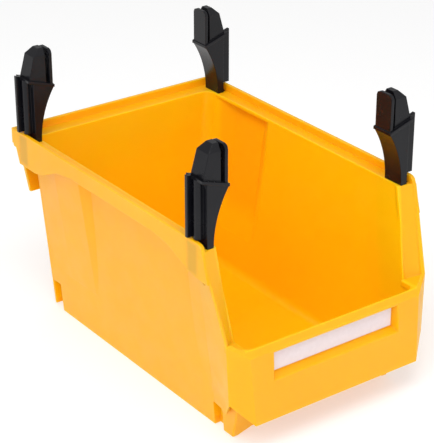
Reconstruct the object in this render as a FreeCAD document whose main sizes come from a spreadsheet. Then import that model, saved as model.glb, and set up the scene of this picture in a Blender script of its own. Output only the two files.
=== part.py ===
"""Hanging parts bin with four stacking posts and a label card.

Millimetres, +Z up, front towards -Y. The origin is under the middle of the bin, on the surface it
stands on.
"""

import FreeCAD, Part
import os
from types import SimpleNamespace

import Sketcher
from FreeCAD import Placement, Rotation, Vector

# Driving dimensions, in millimetres, except for the slopes, which are run per rise.
SIZES = {
    # tub
    "base_half": 65.0,
    "ledge_half": 76.2,
    "base_rear": 114.5,
    "ledge_rear": 116.5,
    "base_front": 102.2,
    "front_lean": 0.278,
    "wall": 2.2,
    "floor_top": 6.6,
    "floor_sheet": 2.2,
    "tub_corner": 1.0,
    "cavity_corner": 7.0,
    "floor_blend": 6.0,
    # ledge and rim
    "ledge_height": 135.0,
    "ledge_sheet": 2.4,
    "rim_height": 140.0,
    "rim_foot": 129.0,
    "rim_half": 85.5,
    "rim_rear": 128.0,
    "rim_sheet": 2.4,
    "rim_front": 96.5,
    # hanging hook
    "hook_bottom": 89.0,
    "hook_top_half": 84.6,
    "hook_step_height": 127.0,
    "hook_mid_half": 80.4,
    "hook_mid_height": 123.5,
    "hook_low_half": 74.3,
    # front frame and opening
    "lip_height": 78.0,
    "lip_inner_height": 73.0,
    "frame_outer_lip": 81.1,
    "frame_outer_rim": 86.1,
    "frame_front_lip": 116.3,
    "frame_front_rim": 96.9,
    "frame_inner_lip": 70.8,
    "frame_inner_rim": 72.8,
    "frame_back_lip": 108.5,
    "frame_back_rim": 93.2,
    # bumper
    "bumper_foot": 22.0,
    "bumper_front_foot": 128.0,
    "bumper_front_lip": 123.7,
    "bumper_half_foot": 66.5,
    "bumper_half_lip": 69.4,
    "bumper_end_foot": 79.2,
    "bumper_end_front": 117.6,
    "bumper_sheet": 2.4,
    "bumper_end_height": 36.0,
    "cheek_foot": 14.0,
    "lip_slope": 1.1,
    # label recess and card
    "recess_half": 49.4,
    "recess_flare": 2.4,
    "recess_depth": 4.6,
    "recess_bottom": 51.2,
    "recess_top": 67.8,
    "card_half": 48.0,
    "card_sheet": 0.4,
    "card_bottom": 52.5,
    "card_height": 14.5,
    # swellings of the side walls behind the posts
    "column_rise": 4.0,
    "column_foot": 33.0,
    "column_full": 120.0,
    "column_ramp": 11.0,
    "column_fade": 84.0,
    "front_column": 83.6,
    "rear_column": 52.0,
    # posts and their sockets
    "front_post": 87.5,
    "rear_post": 112.5,
    "tang_inner": 77.8,
    "tang_outer": 82.5,
    "tang_half": 5.8,
    "tang_length": 19.0,
    "socket_gap": 0.4,
    "post_inner": 75.0,
    "post_outer": 79.8,
    "post_half": 7.9,
    "post_tip": 63.3,
    "shoulder_height": 39.6,
    "shoulder_slope": 0.32,
    "shoulder_outer": 83.6,
    "shoulder_sheet": 2.0,
    "rib_outer": 84.4,
    "rib_front": 2.1,
    "rib_width": 6.0,
    "rib_round": 2.8,
    "rib_foot": 5.5,
    "fin_outer": 87.2,
    "fin_foot": 6.2,
    "fin_front": 4.5,
    "fin_sheet": 2.4,
    "fin_top": 47.2,
    "tine_inner": 64.0,
    "tine_outer": 66.2,
    "tine_half": 7.2,
    "tine_height": 64.6,
    "tine_corner": 3.0,
    "block_inner": 68.5,
    "block_half": 6.3,
    "block_waist": 61.0,
    "block_height": 65.6,
    # foot notches
    "notch_half": 5.0,
    "notch_height": 17.5,
    "notch_depth": 4.5,
    "rear_notch": 107.7,
    "rear_notch_height": 22.0,
    "rear_notch_depth": 6.0,
    "corner_relief": 2.0,
    "foot_relief": 3.8,
}


class Size:
    """A length that carries its value and the sheet expression that gives it."""

    def __init__(self, value, text):
        self.value = value
        self.text = text

    def __add__(self, other):
        other = as_size(other)
        return Size(self.value + other.value, f"({self.text} + {other.text})")

    def __sub__(self, other):
        other = as_size(other)
        return Size(self.value - other.value, f"({self.text} - {other.text})")

    def __mul__(self, other):
        other = as_size(other)
        return Size(self.value * other.value, f"({self.text} * {other.text})")

    def __truediv__(self, other):
        other = as_size(other)
        return Size(self.value / other.value, f"({self.text} / {other.text})")

    def __neg__(self):
        return self * -1

    def __radd__(self, other):
        return as_size(other) + self

    def __rsub__(self, other):
        return as_size(other) - self

    def __rmul__(self, other):
        return as_size(other) * self


def as_size(number):
    return number if isinstance(number, Size) else Size(float(number), f"({float(number)})")


def make_sheet(doc):
    """The spreadsheet of driving dimensions, and the same names as Size objects."""
    sheet = doc.addObject("Spreadsheet::Sheet", "Sizes")
    for row, (alias, value) in enumerate(SIZES.items(), start=1):
        sheet.set(f"A{row}", str(value))
        sheet.setAlias(f"A{row}", alias)
    doc.recompute()
    sizes = {alias: Size(value, f"Sizes.{alias}") for alias, value in SIZES.items()}
    return SimpleNamespace(**sizes)


def bind(thing, path, size):
    thing.setExpression(path, as_size(size).text)


def new_body(doc, label):
    body = doc.addObject("PartDesign::Body", label)
    body.Label = label
    return body


def new_sketch(body, name, role, level):
    """An empty sketch on an origin plane of the body, moved along the plane's normal by level."""
    sketch = body.newObject("Sketcher::SketchObject", name)
    plane = next(item for item in body.Origin.OriginFeatures if item.Role == role)
    sketch.AttachmentSupport = [(plane, "")]
    sketch.MapMode = "FlatFace"
    bind(sketch, "AttachmentOffset.Base.z", level)
    return sketch


def place_end(sketch, line, point):
    """Ties the start of a line to a point measured from the sketch's origin."""
    for kind, size in zip(("DistanceX", "DistanceY"), point):
        size = as_size(size)
        index = sketch.addConstraint(Sketcher.Constraint(kind, -1, 1, line, 1, size.value))
        bind(sketch, f"Constraints[{index}]", size)


def polygon(body, name, role, level, points):
    """A closed outline of straight lines whose corners are bound to the sheet."""
    sketch = new_sketch(body, name, role, level)
    corners = [Vector(as_size(u).value, as_size(v).value, 0) for u, v in points]
    count = len(corners)
    for index, corner in enumerate(corners):
        sketch.addGeometry(Part.LineSegment(corner, corners[(index + 1) % count]), False)
    for index in range(count):
        following = (index + 1) % count
        sketch.addConstraint(Sketcher.Constraint("Coincident", index, 2, following, 1))
    for index, point in enumerate(points):
        place_end(sketch, index, point)
    return sketch


def rectangle(body, name, role, level, low, high):
    (left, bottom), (right, top) = low, high
    corners = [(left, bottom), (right, bottom), (right, top), (left, top)]
    return polygon(body, name, role, level, corners)


def extrude(body, kind, name, sketch, length, reverse=False, symmetric=False):
    feature = body.newObject(kind, name)
    feature.Profile = sketch
    feature.Reversed = reverse
    feature.SideType = "Symmetric" if symmetric else "One side"
    bind(feature, "Length", length)
    return feature


def pad(body, name, sketch, length, **options):
    return extrude(body, "PartDesign::Pad", name, sketch, length, **options)


def pocket(body, name, sketch, length, **options):
    return extrude(body, "PartDesign::Pocket", name, sketch, length, **options)


def loft(body, name, sections, cut=False):
    kind = "PartDesign::SubtractiveLoft" if cut else "PartDesign::AdditiveLoft"
    feature = body.newObject(kind, name)
    feature.Profile = sections[0]
    feature.Sections = sections[1:]
    feature.Ruled = True
    return feature


def fillet(doc, body, name, radius, chosen):
    """Rounds the edges of the body's latest feature that the test accepts."""
    doc.recompute()
    base = body.Tip
    names = [f"Edge{index}" for index, edge in enumerate(base.Shape.Edges, start=1) if chosen(edge)]
    feature = body.newObject("PartDesign::Fillet", name)
    feature.Base = (base, names)
    bind(feature, "Radius", radius)
    return feature


def half_at(s, height):
    """Half width of the tapered tub, outside, at a height."""
    return s.base_half + (s.ledge_half - s.base_half) * height / s.ledge_height


def rear_at(s, height):
    return s.base_rear + (s.ledge_rear - s.base_rear) * height / s.ledge_height


def front_at(s, height):
    """Distance of the tub's leaning front wall ahead of the origin, outside, at a height."""
    return s.base_front + s.front_lean * height


def rise_at(s, height):
    """How far a side-wall swelling stands out at a height."""
    return s.column_rise * (height - s.column_foot) / (s.column_full - s.column_foot)


def tub_section(s, body, name, height, inset):
    half = half_at(s, height) - inset
    low = (-half, inset - front_at(s, height))
    high = (half, rear_at(s, height) - inset)
    return rectangle(body, name, "XY_Plane", height, low, high)


def is_upright(edge):
    """True for an edge that climbs more than it runs."""
    start, end = edge.Vertexes[0].Point, edge.Vertexes[-1].Point
    return abs(end.z - start.z) > max(abs(end.x - start.x), abs(end.y - start.y))


def add_tub(doc, s, body):
    """The tapered tub, hollow down to its floor, with its upright edges and floor rounded."""
    foot = tub_section(s, body, "tub_foot", as_size(0), as_size(0))
    head = tub_section(s, body, "tub_head", s.ledge_height, as_size(0))
    loft(body, "tub", [foot, head])
    foot = tub_section(s, body, "cavity_foot", s.floor_top, s.wall)
    head = tub_section(s, body, "cavity_head", s.ledge_height, s.wall)
    loft(body, "cavity", [foot, head], cut=True)
    floor = s.floor_top.value

    def is_cavity_corner(edge):
        return is_upright(edge) and abs(edge.BoundBox.ZMin - floor) < 0.01

    def is_floor_edge(edge):
        return abs(edge.BoundBox.ZMin - floor) + abs(edge.BoundBox.ZMax - floor) < 0.01

    def is_tub_corner(edge):
        return is_upright(edge) and edge.BoundBox.ZMin < 0.01 and edge.BoundBox.ZMax > floor

    fillet(doc, body, "cavity_corners", s.cavity_corner, is_cavity_corner)
    fillet(doc, body, "floor_blend", s.floor_blend, is_floor_edge)
    fillet(doc, body, "tub_corners", s.tub_corner, is_tub_corner)


def add_rim(s, body):
    """The ledge around the tub and the rim wall that stands on it and hangs below it."""
    inner_half = s.rim_half - s.rim_sheet
    inner_rear = s.rim_rear - s.rim_sheet
    under = s.ledge_height - s.ledge_sheet
    mouth = s.ledge_half - s.wall / 2
    mouth_rear = s.ledge_rear - s.wall / 2
    cant = s.cavity_corner - 3.5
    right = [
        (s.rim_half - 1, s.rim_rear - 1),
        (s.rim_half - 1, -s.rim_front),
        (mouth, -s.rim_front),
        (mouth, mouth_rear - cant),
        (mouth - cant, mouth_rear),
    ]
    left = [(-x, y) for x, y in reversed(right)]
    plate = polygon(body, "ledge_outline", "XY_Plane", under, right + left)
    pad(body, "ledge", plate, s.ledge_sheet)
    outline = [
        (-s.rim_half, -s.rim_front),
        (-s.rim_half, s.rim_rear),
        (s.rim_half, s.rim_rear),
        (s.rim_half, -s.rim_front),
        (inner_half, -s.rim_front),
        (inner_half, inner_rear),
        (-inner_half, inner_rear),
        (-inner_half, -s.rim_front),
    ]
    wall = polygon(body, "rim_outline", "XY_Plane", s.rim_foot, outline)
    pad(body, "rim", wall, s.rim_height - s.rim_foot)


def column_section(s, body, name, side, height, inset):
    """Plan of a rear swelling of a side wall; inset moves it inwards for the hollow behind it."""
    wall = half_at(s, height) - inset
    proud = wall + rise_at(s, height)
    root = wall - 1
    start = s.rear_column - s.column_ramp
    round_off = s.cavity_corner if inset.value else as_size(0.6)
    end = rear_at(s, height) - inset - round_off
    points = [
        (root, start),
        (proud, s.rear_column),
        (proud, s.column_fade),
        (wall - 0.2, end),
        (root, end),
    ]
    return polygon(body, name, "XY_Plane", height, [(x * side, y) for x, y in points])


def add_rear_columns(s, body, cut):
    inset = s.wall if cut else as_size(0)
    word = "hollow" if cut else "column"
    under = s.ledge_height - s.ledge_sheet
    for side, hand in ((-1, "left"), (1, "right")):
        foot = column_section(s, body, f"{hand}_{word}_foot", side, s.column_foot + 3, inset)
        head = column_section(s, body, f"{hand}_{word}_head", side, under, inset)
        loft(body, f"{hand}_rear_{word}", [foot, head], cut=cut)


def cut_front_opening(s, body):
    """Takes away the front wall above the lip and trims the side walls' front edges."""
    top = s.rim_height + 5
    lean = (s.frame_back_lip - s.frame_back_rim) / (s.rim_height - s.lip_inner_height)
    outline = [
        (lean * 5 - s.frame_back_rim, top),
        (-s.frame_back_lip, s.lip_inner_height),
        (as_size(-160), s.lip_inner_height),
        (as_size(-160), top),
    ]
    sketch = polygon(body, "opening_outline", "YZ_Plane", as_size(0), outline)
    pocket(body, "front_opening", sketch, 3 * s.rim_half, symmetric=True)


def frame_section(s, body, name, side, height, outer, front, inner, back):
    """Plan of the front frame at a height: a thin plate from the inner to the outer edge."""
    points = [
        (outer, -front),
        (inner, -back),
        (inner, s.bumper_sheet - back),
        (outer, s.bumper_sheet - front),
    ]
    return polygon(body, name, "XY_Plane", height, [(x * side, y) for x, y in points])


def add_front_frame(s, body):
    """The plates that stand out from the side walls' front edges."""
    for side, hand in ((-1, "left"), (1, "right")):
        share = (s.lip_height - s.lip_inner_height) / (s.rim_height - s.lip_inner_height)
        inner = s.frame_inner_lip + (s.frame_inner_rim - s.frame_inner_lip) * share
        back = s.frame_back_lip - (s.frame_back_lip - s.frame_back_rim) * share
        foot = frame_section(
            s, body, f"{hand}_frame_foot", side, s.lip_inner_height,
            s.frame_outer_lip - 0.2, s.frame_front_lip - 0.1, s.frame_inner_lip, s.frame_back_lip,
        )
        middle = frame_section(
            s, body, f"{hand}_frame_lip", side, s.lip_height,
            s.frame_outer_lip, s.frame_front_lip, inner, back,
        )
        climb = (s.rim_height - s.ledge_height) / (s.rim_height - s.lip_height)
        head = frame_section(
            s, body, f"{hand}_frame_head", side, s.ledge_height,
            s.frame_outer_rim - (s.frame_outer_rim - s.frame_outer_lip) * climb,
            s.frame_front_rim + (s.frame_front_lip - s.frame_front_rim) * climb,
            s.frame_inner_rim, s.frame_back_rim + 1.1,
        )
        loft(body, f"{hand}_frame", [foot, middle, head])


def cheek_section(s, body, name, side, height, outer, front, rise):
    """Plan of the sheet that carries a side wall out to the outer edge of the front frame."""
    wall = half_at(s, height)
    start = s.column_ramp + 8 - s.front_column
    points = [
        (wall - 0.4, start),
        (wall + rise, -s.front_column),
        (outer, -front),
        (outer - s.wall, 0.9 - front),
        (wall + rise - s.wall, 0.6 - s.front_column),
        (wall - 1.8, start),
    ]
    return polygon(body, name, "XY_Plane", height, [(x * side, y) for x, y in points])


def add_cheeks(s, body):
    for side, hand in ((-1, "left"), (1, "right")):
        under = s.ledge_height - 1
        climb = (under - s.lip_height) / (s.rim_height - s.lip_height)
        top_outer = s.frame_outer_lip + (s.frame_outer_rim - s.frame_outer_lip) * climb
        top_front = s.frame_front_lip - (s.frame_front_lip - s.frame_front_rim) * climb
        foot_half = half_at(s, s.cheek_foot) - 0.3
        sections = [
            cheek_section(s, body, f"{hand}_cheek_foot", side, s.cheek_foot,
                          foot_half, s.base_front - 6, as_size(-0.3)),
            cheek_section(s, body, f"{hand}_cheek_end", side, s.bumper_end_height,
                          s.bumper_end_foot + 0.4, s.bumper_end_front - 0.4, as_size(0.2)),
            cheek_section(s, body, f"{hand}_cheek_lip", side, s.lip_height,
                          s.frame_outer_lip, s.frame_front_lip, rise_at(s, s.lip_height)),
            cheek_section(s, body, f"{hand}_cheek_head", side, under,
                          top_outer - 0.2, top_front, rise_at(s, under)),
        ]
        loft(body, f"{hand}_cheek", sections)


def bumper_section(s, body, name, height, half, front, end, end_front):
    """Plan of the bumper shell: a straight front with a canted end on each side."""
    outer = [(end, -end_front), (half, -front)]
    inner = [(half - 0.7, s.bumper_sheet - front), (end - 1.3, 2 - end_front)]
    right = outer + inner
    left = [(-x, y) for x, y in right]
    loop = [outer[0], outer[1], left[1], left[0], left[3], left[2], inner[0], inner[1]]
    return polygon(body, name, "XY_Plane", height, loop)


def add_bumper(s, body):
    """The hollow bumper ahead of the front wall, its closed top and the lip's sloping cap."""
    foot = bumper_section(s, body, "bumper_foot_plan", s.bumper_foot, s.bumper_half_foot,
                          s.bumper_front_foot, s.bumper_end_foot, s.bumper_end_front)
    head = bumper_section(s, body, "bumper_head_plan", s.lip_height, s.bumper_half_lip,
                          s.bumper_front_lip, s.frame_outer_lip, s.frame_front_lip)
    loft(body, "bumper", [foot, head])
    top = s.lip_inner_height + 0.6
    wall_front = front_at(s, top)
    outline = [
        (1 - wall_front, top),
        (-s.bumper_front_lip, top),
        (-s.bumper_front_lip - 0.6, top - 8),
        (2.5 - s.bumper_front_lip, top - 8),
        (1.5 - wall_front, top - 4),
    ]
    sketch = polygon(body, "lip_outline", "YZ_Plane", as_size(0), outline)
    pad(body, "lip", sketch, 2 * s.bumper_half_foot + 4.2, symmetric=True)
    for side, hand in ((-1, "left"), (1, "right")):
        inner = [
            (1 - s.frame_back_lip, s.lip_inner_height),
            (-wall_front - 1, s.lip_inner_height),
            (-wall_front - 1, s.lip_inner_height - 4),
            (1 - s.frame_back_lip, s.lip_inner_height - 4),
        ]
        outer = [
            (3.3 - s.frame_front_lip, s.lip_height - 0.2),
            (-s.frame_front_lip - 0.1, s.lip_height - 0.2),
            (-s.frame_front_lip - 0.1, s.lip_height - 3),
            (3.3 - s.frame_front_lip, s.lip_height - 3),
        ]
        near = (s.frame_inner_lip - 2.8) * side
        far = (s.frame_outer_lip - 0.6) * side
        sections = [
            polygon(body, f"{hand}_web_inner", "YZ_Plane", near, inner),
            polygon(body, f"{hand}_web_outer", "YZ_Plane", far, outer),
        ]
        loft(body, f"{hand}_web", sections)
    drop = s.lip_slope * 24
    cap = [
        (-s.frame_front_lip, s.lip_height),
        (-s.frame_front_lip - 24, s.lip_height - drop),
        (-s.frame_front_lip - 24, s.lip_height + 20),
        (-s.frame_front_lip, s.lip_height + 20),
    ]
    sketch = polygon(body, "cap_outline", "YZ_Plane", as_size(0), cap)
    pocket(body, "lip_cap", sketch, 3 * s.rim_half, symmetric=True)
    for side, hand in ((-1, "left"), (1, "right")):
        rise = s.bumper_end_height - s.bumper_foot
        corners = [
            (s.bumper_half_foot, s.bumper_foot),
            (s.bumper_end_foot, s.bumper_end_height),
            (s.bumper_end_foot + 10, s.bumper_end_height),
            (s.bumper_end_foot + 10, s.bumper_foot - 5),
            (s.bumper_half_foot - 1, s.bumper_foot - 5),
        ]
        cut = [(x * side, z) for x, z in corners]
        sketch = polygon(body, f"{hand}_bumper_cut", "XZ_Plane", s.bumper_front_foot + 2, cut)
        depth = s.bumper_front_foot + 2 - s.bumper_end_front + s.bumper_sheet
        pocket(body, f"{hand}_bumper_foot_cut", sketch, depth)


def recess_floor(s):
    """Distance of the label recess's floor ahead of the origin, at the recess's top."""
    return s.bumper_front_lip + 0.9 - s.recess_depth


def add_label_recess(s, body):
    """A shallow tray for the card: walls behind the bumper's front, then the hollow itself."""
    floor = recess_floor(s)
    back = [
        (1.4 - floor, s.recess_top + 1.5),
        (0.6 - floor, s.recess_bottom - 3),
        (-floor - 2, s.recess_bottom - 6.5),
        (-s.bumper_front_lip - 1.6, s.recess_bottom - 6.5),
        (-s.bumper_front_lip - 0.6, s.recess_top),
        (0.6 - s.bumper_front_lip, s.recess_top + 1.5),
    ]
    sketch = polygon(body, "recess_back", "YZ_Plane", as_size(0), back)
    pad(body, "recess_tray", sketch, 2 * (s.recess_half + s.recess_flare + 2), symmetric=True)
    low = (-s.recess_half, s.recess_bottom)
    high = (s.recess_half, s.recess_top)
    inner = rectangle(body, "recess_floor_plan", "XZ_Plane", floor + 0.6, low, high)
    wide = s.recess_half + s.recess_flare
    low = (-wide, s.recess_bottom - 3.5)
    high = (wide, s.recess_top)
    outer = rectangle(body, "recess_mouth_plan", "XZ_Plane", s.bumper_front_foot, low, high)
    loft(body, "label_recess", [inner, outer], cut=True)


def add_hook(s, body):
    """The flap behind the rear wall that hangs over a rail."""
    right = [
        (s.hook_top_half, s.rim_height - 1),
        (s.hook_top_half, s.hook_step_height),
        (s.hook_mid_half, s.hook_mid_height),
        (s.hook_low_half, s.hook_bottom),
    ]
    left = [(-x, z) for x, z in reversed(right)]
    sketch = polygon(body, "hook_outline", "XZ_Plane", -s.rim_rear, right + left)
    pad(body, "hook", sketch, s.rim_sheet)


def add_skirt_gussets(s, body):
    """The rim wall reaches lower around each post, front and rear."""
    drop = s.rim_foot - 13
    up = s.rim_foot + 1
    top = s.rim_height
    front = [
        (-38, up), (-62, up - 3.6), (-82, drop + 2.2), (-92, drop), (-103.6, drop), (-99.5, up),
        (-98.3, top - 5), (-97.1, top - 1.9), (-95.3, top - 0.5), (-93, top), (-88, top), (-88, up),
    ]
    rear = [
        (46, up), (70, up - 4), (88, drop + 2), (98, drop), (119, drop), (123, up - 3),
        (126, up - 3), (126, up),
    ]
    inner = s.rim_half - s.rim_sheet
    for end, outline in (("front", front), ("rear", rear)):
        for side, hand in ((-1, "left"), (1, "right")):
            level = inner if side > 0 else -inner
            name = f"{hand}_{end}_skirt"
            sketch = polygon(body, f"{name}_outline", "YZ_Plane", level, outline)
            pad(body, name, sketch, s.rim_sheet, reverse=side < 0)


def post_places(s):
    """Name, side and position along Y of each post."""
    return [
        ("front_left_post", -1, -s.front_post),
        ("front_right_post", 1, -s.front_post),
        ("rear_left_post", -1, s.rear_post),
        ("rear_right_post", 1, s.rear_post),
    ]


def add_sockets(s, body):
    """A sleeve under the ledge for each post's tang."""
    depth = s.tang_length
    thick = s.wall - 0.4
    for name, side, middle in post_places(s):
        reach = s.tang_half + s.socket_gap
        inner = s.tang_inner - s.socket_gap
        outer = s.tang_outer + s.socket_gap
        low = ((inner - 1.6) * side, middle - reach - thick)
        high = ((outer + 1) * side, middle + reach + thick)
        block = rectangle(body, f"{name}_sleeve_plan", "XY_Plane", s.ledge_height - depth, low, high)
        pad(body, f"{name}_sleeve", block, depth - 1)
        low = (inner * side, middle - reach)
        high = (outer * side, middle + reach)
        hole = rectangle(body, f"{name}_hole_plan", "XY_Plane", s.ledge_height, low, high)
        pocket(body, f"{name}_hole", hole, depth + 6)


def add_base(s, body):
    """The hollow under the floor, the stacking notches and the relieved front edge."""
    under = s.floor_top - s.floor_sheet
    low = (2.6 - s.base_half, 3 - s.base_front)
    high = (s.base_half - 2.6, s.base_rear - 2.6)
    hollow = rectangle(body, "underside_plan", "XY_Plane", as_size(0), low, high)
    pocket(body, "underside", hollow, under, reverse=True)
    for name, side, post in post_places(s):
        rear = post.value > 0
        middle = s.rear_notch if rear else post
        depth = s.rear_notch_depth if rear else s.notch_depth
        height = s.rear_notch_height if rear else s.notch_height
        low = ((s.base_half - depth - 1.8) * side, middle - s.notch_half - 2)
        high = ((s.base_half - 0.6) * side, middle + s.notch_half + 1)
        boss = rectangle(body, f"{name}_boss_plan", "XY_Plane", as_size(0), low, high)
        pad(body, f"{name}_boss", boss, height + 2)
        low = ((s.base_half - depth) * side, middle - s.notch_half)
        high = ((s.base_half + 10) * side, middle + s.notch_half - 0.4)
        notch = rectangle(body, f"{name}_notch_plan", "XY_Plane", as_size(0), low, high)
        pocket(body, f"{name}_notch", notch, height, reverse=True)
        if rear:
            low = ((s.base_half - depth) * side, middle)
            high = ((s.base_half + 10) * side, s.base_rear + 4)
            relief = rectangle(body, f"{name}_relief_plan", "XY_Plane", as_size(0), low, high)
            pocket(body, f"{name}_relief", relief, s.corner_relief, reverse=True)
    right = [(s.base_half - 14, s.foot_relief), (s.base_half - 1, as_size(-1))]
    left = [(-x, z) for x, z in reversed(right)]
    sketch = polygon(body, "front_relief_outline", "XZ_Plane", s.base_front + 4, left + right)
    pocket(body, "front_relief", sketch, 12)


def make_bin(doc, s):
    body = new_body(doc, "bin_shell")
    add_tub(doc, s, body)
    add_rim(s, body)
    add_rear_columns(s, body, cut=False)
    add_rear_columns(s, body, cut=True)
    cut_front_opening(s, body)
    add_front_frame(s, body)
    add_cheeks(s, body)
    add_bumper(s, body)
    add_label_recess(s, body)
    add_hook(s, body)
    add_skirt_gussets(s, body)
    add_sockets(s, body)
    add_base(s, body)
    return body


def swept_outline(s, body):
    """Outline of a post's body, whose inner side swings inwards to the shoulder in one arc."""
    reach = s.post_inner - s.post_tip
    top = s.shoulder_height - s.shoulder_sheet / 2
    radius = (reach * reach + top * top) / (reach * 2)
    outer_top = top + (s.post_outer - s.post_tip) * s.shoulder_slope
    corners = [
        (s.post_inner, as_size(0)),
        (s.post_outer, as_size(0)),
        (s.post_outer, outer_top),
        (s.post_tip, top),
    ]
    sketch = new_sketch(body, "stem_outline", "XZ_Plane", as_size(0))
    points = [Vector(u.value, v.value, 0) for u, v in corners]
    for start, end in zip(points, points[1:]):
        sketch.addGeometry(Part.LineSegment(start, end), False)
    belly = Vector(s.post_inner.value - 0.25 * reach.value, top.value / 2, 0)
    sketch.addGeometry(Part.Arc(points[0], belly, points[3]), False)
    for line, following in ((0, 1), (1, 2)):
        sketch.addConstraint(Sketcher.Constraint("Coincident", line, 2, following, 1))
    sketch.addConstraint(Sketcher.Constraint("Coincident", 2, 2, 3, 2))
    sketch.addConstraint(Sketcher.Constraint("Coincident", 0, 1, 3, 1))
    for line, point in enumerate(corners[:3]):
        place_end(sketch, line, point)
    for kind, size in zip(("DistanceX", "DistanceY"), corners[3]):
        index = sketch.addConstraint(Sketcher.Constraint(kind, -1, 1, 2, 2, size.value))
        bind(sketch, f"Constraints[{index}]", size)
    index = sketch.addConstraint(Sketcher.Constraint("Radius", 3, radius.value))
    bind(sketch, f"Constraints[{index}]", radius)
    return sketch


def block_section(s, body, name, height, outer, half):
    """Plan of the outer tine, a block that narrows upwards, at a height."""
    low, high = (s.block_inner, -half), (outer, half)
    return rectangle(body, name, "XY_Plane", height, low, high)


def make_post(doc, s, label, side, middle):
    """A stacking post, drawn for the right side with its foot at z 0 and +X outwards."""
    body = new_body(doc, label)
    pad(body, "stem", swept_outline(s, body), s.post_half * 2, symmetric=True)
    rise = (s.shoulder_outer - s.post_tip) * s.shoulder_slope
    low = (s.post_outer - 1, -s.rib_front)
    high = (s.rib_outer, s.rib_width - s.rib_front)
    plan = rectangle(body, "rib_plan", "XY_Plane", s.rib_foot, low, high)
    pad(body, "rib", plan, s.shoulder_height + rise - 1.2 - s.rib_foot)

    def is_rib_corner(edge):
        box = edge.BoundBox
        return box.ZLength > 20 and box.XMin > s.rib_outer.value - 0.1

    fillet(doc, body, "rib_round", s.rib_round, is_rib_corner)
    shoulder = [
        (s.post_tip, s.shoulder_height - s.shoulder_sheet),
        (s.shoulder_outer, s.shoulder_height - s.shoulder_sheet + rise),
        (s.shoulder_outer, s.shoulder_height + rise),
        (s.post_tip, s.shoulder_height),
    ]
    sketch = polygon(body, "shoulder_outline", "XZ_Plane", as_size(0), shoulder)
    pad(body, "shoulder", sketch, s.post_half * 2 + 0.6, symmetric=True)
    fin = [
        (s.post_outer - 1, s.fin_foot),
        (s.fin_outer, s.fin_foot),
        (s.fin_outer, s.fin_top),
        (s.shoulder_outer, s.shoulder_height + rise),
        (s.post_outer - 1, s.shoulder_height + rise - 1.5),
    ]
    sketch = polygon(body, "fin_outline", "XZ_Plane", s.fin_front - s.fin_sheet, fin)
    pad(body, "fin", sketch, s.fin_sheet)
    right = [
        (s.tine_half, s.shoulder_height - 1.5),
        (s.tine_half, s.tine_height - s.tine_corner),
        (s.tine_half - s.tine_corner * 0.3, s.tine_height - s.tine_corner * 0.3),
        (s.tine_half - s.tine_corner, s.tine_height),
    ]
    left = [(-y, z) for y, z in reversed(right)]
    sketch = polygon(body, "tine_outline", "YZ_Plane", s.tine_inner, right + left)
    pad(body, "tine", sketch, s.tine_outer - s.tine_inner)
    taper = [
        ("block_foot", s.shoulder_height - 1, s.post_outer - 0.2, s.block_half),
        ("block_shoulder", s.shoulder_height + rise, s.post_outer + 1.6, s.block_half),
        ("block_waist", s.block_waist, s.post_outer - 2.5, s.block_half - 0.3),
        ("block_head", s.block_height, s.post_outer - 7.3, s.block_half - 3.1),
    ]
    loft(body, "block", [block_section(s, body, *section) for section in taper])
    low = (s.tang_inner, -s.tang_half)
    high = (s.tang_outer, s.tang_half)
    tang = rectangle(body, "tang_plan", "XY_Plane", as_size(0.5), low, high)
    pad(body, "tang", tang, s.tang_length, reverse=True)
    turn = Rotation(Vector(0, 0, 1), 90 - 90 * side)
    body.Placement = Placement(Vector(0, middle.value, s.ledge_height.value), turn)
    bind(body, "Placement.Base.y", middle)
    bind(body, "Placement.Base.z", s.ledge_height)
    return body


def make_card(doc, s):
    """The blank card on the floor of the label recess."""
    body = new_body(doc, "label_card")
    back = recess_floor(s) + 0.7
    low = (-s.card_half, s.card_bottom)
    high = (s.card_half, s.card_bottom + s.card_height)
    face = rectangle(body, "card_outline", "XZ_Plane", back, low, high)
    pad(body, "card", face, s.card_sheet)
    return body


def check_document(doc):
    """Stops if an object failed, or if a feature changed the volume the wrong way."""
    for item in doc.Objects:
        if {"Invalid", "Error"} & set(item.State):
            raise RuntimeError(f"{item.Name} failed: {item.State}")


def check_features(body):
    volume = 0.0
    for item in body.Group:
        if item.TypeId.startswith("PartDesign::") and hasattr(item, "Shape"):
            grown = item.Shape.Volume - volume
            cuts = "Pocket" in item.TypeId or "Subtractive" in item.TypeId
            if (cuts and grown >= 0) or ("Fillet" not in item.TypeId and not cuts and grown <= 0):
                raise RuntimeError(f"{item.Label} changed the volume the wrong way")
            volume = item.Shape.Volume


def main():
    doc = FreeCAD.newDocument("parts_bin")
    s = make_sheet(doc)
    pieces = [make_bin(doc, s)]
    pieces += [make_post(doc, s, *place) for place in post_places(s)]
    pieces.append(make_card(doc, s))
    doc.recompute()
    check_document(doc)
    for piece in pieces:
        check_features(piece)
    os.makedirs("parts", exist_ok=True)
    for piece in pieces:
        shape = piece.Shape
        if shape.isNull() or not shape.isValid():
            raise RuntimeError(f"{piece.Label} has no valid shape")
        shape.exportStep(f"parts/{piece.Label}.step")
        print(piece.Label, shape.optimalBoundingBox(), round(shape.Volume))


main()
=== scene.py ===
import math

import bpy
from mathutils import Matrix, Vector


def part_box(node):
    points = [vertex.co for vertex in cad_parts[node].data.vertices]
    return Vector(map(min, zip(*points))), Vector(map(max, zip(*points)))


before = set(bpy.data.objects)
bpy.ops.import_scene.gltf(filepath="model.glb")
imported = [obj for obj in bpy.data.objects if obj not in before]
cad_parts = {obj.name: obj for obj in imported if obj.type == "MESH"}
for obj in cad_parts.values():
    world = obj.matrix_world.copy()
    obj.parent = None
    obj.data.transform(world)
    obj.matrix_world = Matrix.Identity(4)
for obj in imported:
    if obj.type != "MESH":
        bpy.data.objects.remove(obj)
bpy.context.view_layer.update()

POSTS = ("front_left_post", "front_right_post", "rear_left_post", "rear_right_post")

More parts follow.
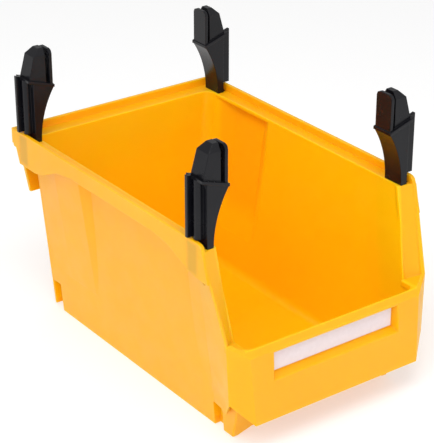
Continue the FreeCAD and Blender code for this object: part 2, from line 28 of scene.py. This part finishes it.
# Outer faces of the tapered tub: (distance from the origin at the base, run per metre of height).
SIDE_WALL = (0.0650, 0.083)
REAR_WALL = (0.1145, 0.015)
FRONT_WALL = (0.1022, 0.278)
HALF_WALL = 0.0011
FLOOR_TOP = 0.0066

# Painted shade where a post's dark tang shows faintly through the skirt beside it, and how far
# that fades out.
TANG_HALF = 0.0055
TANG_HEIGHTS = (0.117, 0.137)
TANG_FADE = 0.003
SKIRT_INNER = 0.0835

# Places of a Mix node's two colours and of its mixed colour among its sockets.
MIX_FIRST, MIX_SECOND, MIX_RESULT = 6, 7, 2


# ---------------------------------------------------------------- nodes

def new_material(name):
    """An empty node material: the material, its node tree and its shader."""
    material = bpy.data.materials.new(name)
    material.use_nodes = True
    tree = material.node_tree
    tree.nodes.clear()
    output = tree.nodes.new("ShaderNodeOutputMaterial")
    shader = tree.nodes.new("ShaderNodeBsdfPrincipled")
    tree.links.new(shader.outputs["BSDF"], output.inputs["Surface"])
    return material, tree, shader


def object_place(tree):
    return tree.nodes.new("ShaderNodeTexCoord").outputs["Object"]


def noise(tree, place, scale, detail=3.0):
    node = tree.nodes.new("ShaderNodeTexNoise")
    node.inputs["Scale"].default_value = scale
    node.inputs["Detail"].default_value = detail
    tree.links.new(place, node.inputs["Vector"])
    return node.outputs["Fac"]


def math_node(tree, operation, *values):
    """One operation on numbers or on other nodes' outputs."""
    node = tree.nodes.new("ShaderNodeMath")
    node.operation = operation
    for socket, value in zip(node.inputs, values):
        if isinstance(value, float):
            socket.default_value = value
        else:
            tree.links.new(value, socket)
    return node.outputs["Value"]


def remap(tree, value, start, end, low=0.0, high=1.0):
    """Runs smoothly from low to high while the value goes from start to end."""
    node = tree.nodes.new("ShaderNodeMapRange")
    node.interpolation_type = "SMOOTHSTEP"
    node.inputs["From Min"].default_value = start
    node.inputs["From Max"].default_value = end
    node.inputs["To Min"].default_value = low
    node.inputs["To Max"].default_value = high
    tree.links.new(value, node.inputs["Value"])
    return node.outputs["Result"]


def tones(tree, factor, dark, light):
    """Two tones of a colour, spread over the middle of a noise."""
    node = tree.nodes.new("ShaderNodeValToRGB")
    for element, position, colour in zip(node.color_ramp.elements, (0.3, 0.7), (dark, light)):
        element.position = position
        element.color = (*colour, 1.0)
    tree.links.new(factor, node.inputs["Fac"])
    return node.outputs["Color"]


def mix(tree, factor, first, second):
    """The first colour where the factor is 0 and the second where it is 1."""
    node = tree.nodes.new("ShaderNodeMix")
    node.data_type = "RGBA"
    tree.links.new(factor, node.inputs["Factor"])
    tree.links.new(first, node.inputs[MIX_FIRST])
    tree.links.new(second, node.inputs[MIX_SECOND])
    return node.outputs[MIX_RESULT]


def soften(tree, shader, height, strength, radius):
    """Fine relief, over edges that the mould leaves slightly rounded."""
    rounded = tree.nodes.new("ShaderNodeBevel")
    rounded.samples = 6
    rounded.inputs["Radius"].default_value = radius
    bump = tree.nodes.new("ShaderNodeBump")
    bump.inputs["Strength"].default_value = strength
    bump.inputs["Distance"].default_value = 0.0002
    tree.links.new(height, bump.inputs["Height"])
    tree.links.new(rounded.outputs["Normal"], bump.inputs["Normal"])
    tree.links.new(bump.outputs["Normal"], shader.inputs["Normal"])


# ---------------------------------------------------------------- materials

def depth_inside(tree, distance, z, wall):
    """How far a place lies inside a wall's outer face, for a wall that leans with the height."""
    base, lean = wall
    face = math_node(tree, "MULTIPLY_ADD", z, lean, base)
    return math_node(tree, "SUBTRACT", face, distance)


def through_lit_inside(tree, x, y, z):
    """1 on the tub's faces inside its walls, which get painted light through the walls, and 0 on
    its outer ones.
    """
    side = depth_inside(tree, math_node(tree, "ABSOLUTE", x), z, SIDE_WALL)
    rear = depth_inside(tree, y, z, REAR_WALL)
    front = depth_inside(tree, math_node(tree, "MULTIPLY", y, -1.0), z, FRONT_WALL)
    floor = math_node(tree, "SUBTRACT", z, FLOOR_TOP - 2 * HALF_WALL)
    depth = math_node(tree, "MINIMUM", side, rear)
    depth = math_node(tree, "MINIMUM", depth, front)
    depth = math_node(tree, "MINIMUM", depth, floor)
    return remap(tree, depth, 0.5 * HALF_WALL, 1.5 * HALF_WALL)


def tang_shade_mask(tree, x, y, z):
    """1 on the skirt right beside a post's tang, where painted shade stands for the dark tang
    seen through, fading out around it.
    """
    low, high = TANG_HEIGHTS
    above = remap(tree, z, low - TANG_FADE, low + TANG_FADE)
    below = remap(tree, z, high, high + TANG_FADE, 1.0, 0.0)
    height = math_node(tree, "MULTIPLY", above, below)
    outside = remap(tree, math_node(tree, "ABSOLUTE", x), SKIRT_INNER, SKIRT_INNER + 0.0005)
    total = None
    for post in POSTS[::2]:
        lowest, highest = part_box(post)
        middle = (lowest[1] + highest[1]) / 2
        offset = math_node(tree, "ABSOLUTE", math_node(tree, "SUBTRACT", y, middle))
        near = remap(tree, offset, 0.5 * TANG_HALF, 1.4 * TANG_HALF, 1.0, 0.0)
        total = near if total is None else math_node(tree, "MAXIMUM", total, near)
    return math_node(tree, "MULTIPLY", math_node(tree, "MULTIPLY", height, outside), total)


def bin_plastic():
    """Yellow polypropylene: satin, slightly translucent, with faint flow marks, painted light
    through the walls on the tub's inner faces and painted shade on the skirt beside the posts'
    tangs.
    """
    material, tree, shader = new_material("yellow_polypropylene")
    place = object_place(tree)
    split = tree.nodes.new("ShaderNodeSeparateXYZ")
    tree.links.new(place, split.inputs["Vector"])
    x, y, z = split.outputs
    flow = noise(tree, place, 9.0, detail=4.0)
    outer = tones(tree, flow, (0.98, 0.425, 0.0008), (1.0, 0.455, 0.0012))
    # Painted light: lighter, yellower tones on the faces inside the tub stand in for light coming
    # through the walls.
    inner_through_lit = tones(tree, flow, (0.98, 0.500, 0.0003), (1.0, 0.540, 0.0006))
    # Painted shade: darker, duller tones on the skirt beside the posts' tangs, standing in for
    # the dark tangs seen through the plastic.
    shadow = tones(tree, flow, (0.70, 0.350, 0.010), (0.74, 0.380, 0.014))
    colour = mix(tree, through_lit_inside(tree, x, y, z), outer, inner_through_lit)
    colour = mix(tree, tang_shade_mask(tree, x, y, z), colour, shadow)
    tree.links.new(colour, shader.inputs["Base Color"])
    gloss = remap(tree, noise(tree, place, 60.0), 0.3, 0.7, 0.34, 0.44)
    tree.links.new(gloss, shader.inputs["Roughness"])
    shader.inputs["Subsurface Weight"].default_value = 0.7
    shader.inputs["Subsurface Radius"].default_value = (0.85, 1.0, 0.03)
    shader.inputs["Subsurface Scale"].default_value = 0.004
    shader.inputs["Specular IOR Level"].default_value = 0.34
    soften(tree, shader, noise(tree, place, 1400.0, detail=2.0), strength=0.06, radius=0.0011)
    return material


def post_plastic():
    """Black gloss plastic with fine handling marks."""
    material, tree, shader = new_material("black_gloss_plastic")
    place = object_place(tree)
    tone = tones(tree, noise(tree, place, 40.0), (0.003, 0.003, 0.005), (0.007, 0.007, 0.009))
    tree.links.new(tone, shader.inputs["Base Color"])
    gloss = remap(tree, noise(tree, place, 90.0), 0.3, 0.7, 0.20, 0.28)
    tree.links.new(gloss, shader.inputs["Roughness"])
    shader.inputs["Specular IOR Level"].default_value = 0.24
    soften(tree, shader, noise(tree, place, 500.0), strength=0.05, radius=0.0006)
    return material


def card_paper():
    """Matt white card with a little fibre."""
    material, tree, shader = new_material("blank_card")
    place = object_place(tree)
    tone = tones(tree, noise(tree, place, 300.0), (0.79, 0.71, 0.74), (0.83, 0.75, 0.78))
    tree.links.new(tone, shader.inputs["Base Color"])
    shader.inputs["Roughness"].default_value = 0.75
    soften(tree, shader, noise(tree, place, 1800.0), strength=0.1, radius=0.0002)
    return material


def give(node, material):
    for slot in bpy.data.objects[node].material_slots:
        slot.material = material


# ---------------------------------------------------------------- studio

def add_camera():
    """A long lens looking down at the bin's front left corner."""
    turn = math.radians(36.21)
    dip = math.radians(26.07)
    level = math.cos(dip)
    forward = Vector((math.sin(turn) * level, math.cos(turn) * level, -math.sin(dip)))
    data = bpy.data.cameras.new("camera")
    data.lens = 134.2
    data.sensor_width = 36.0
    camera = bpy.data.objects.new("camera", data)
    camera.location = (-0.5945, -0.8082, 0.5842)
    camera.rotation_euler = forward.to_track_quat("-Z", "Y").to_euler()
    bpy.context.collection.objects.link(camera)
    bpy.context.scene.camera = camera


def add_light(name, place, size, power):
    """A square soft box that faces the middle of the bin."""
    data = bpy.data.lights.new(name, "AREA")
    data.shape = "SQUARE"
    data.size = size
    data.energy = power
    light = bpy.data.objects.new(name, data)
    light.location = place
    aim = Vector((0.0, 0.0, 0.08)) - Vector(place)
    light.rotation_euler = aim.to_track_quat("-Z", "Y").to_euler()
    bpy.context.collection.objects.link(light)


def add_floor():
    """A wide pale sheet, just under the bin, that glows a little so that shadows stay light."""
    size = 6.0
    mesh = bpy.data.meshes.new("floor")
    corners = [(-size, -size, 0), (size, -size, 0), (size, size, 0), (-size, size, 0)]
    mesh.from_pydata(corners, [], [(0, 1, 2, 3)])
    floor = bpy.data.objects.new("floor", mesh)
    floor.location.z = -0.0005
    bpy.context.collection.objects.link(floor)
    material, tree, shader = new_material("pale_floor")
    shader.inputs["Base Color"].default_value = (0.62, 0.62, 0.62, 1.0)
    shader.inputs["Roughness"].default_value = 0.9
    shader.inputs["Emission Color"].default_value = (1.0, 1.0, 1.0, 1.0)
    shader.inputs["Emission Strength"].default_value = 0.45
    mesh.materials.append(material)


def add_world():
    world = bpy.data.worlds.new("studio")
    world.use_nodes = True
    background = world.node_tree.nodes["Background"]
    background.inputs["Color"].default_value = (1.0, 1.0, 1.0, 1.0)
    background.inputs["Strength"].default_value = 0.55
    bpy.context.scene.world = world
    bpy.context.scene.view_settings.view_transform = "Standard"


add_camera()
add_floor()
add_world()
add_light("key", (-0.9, -0.5, 1.3), size=1.6, power=14.0)
add_light("top", (-0.3, -0.45, 0.95), size=0.5, power=3.0)
add_light("fill", (0.9, -1.2, 0.9), size=1.4, power=3.0)

give("bin_shell", bin_plastic())
black = post_plastic()
for post in POSTS:
    give(post, black)
give("label_card", card_paper())
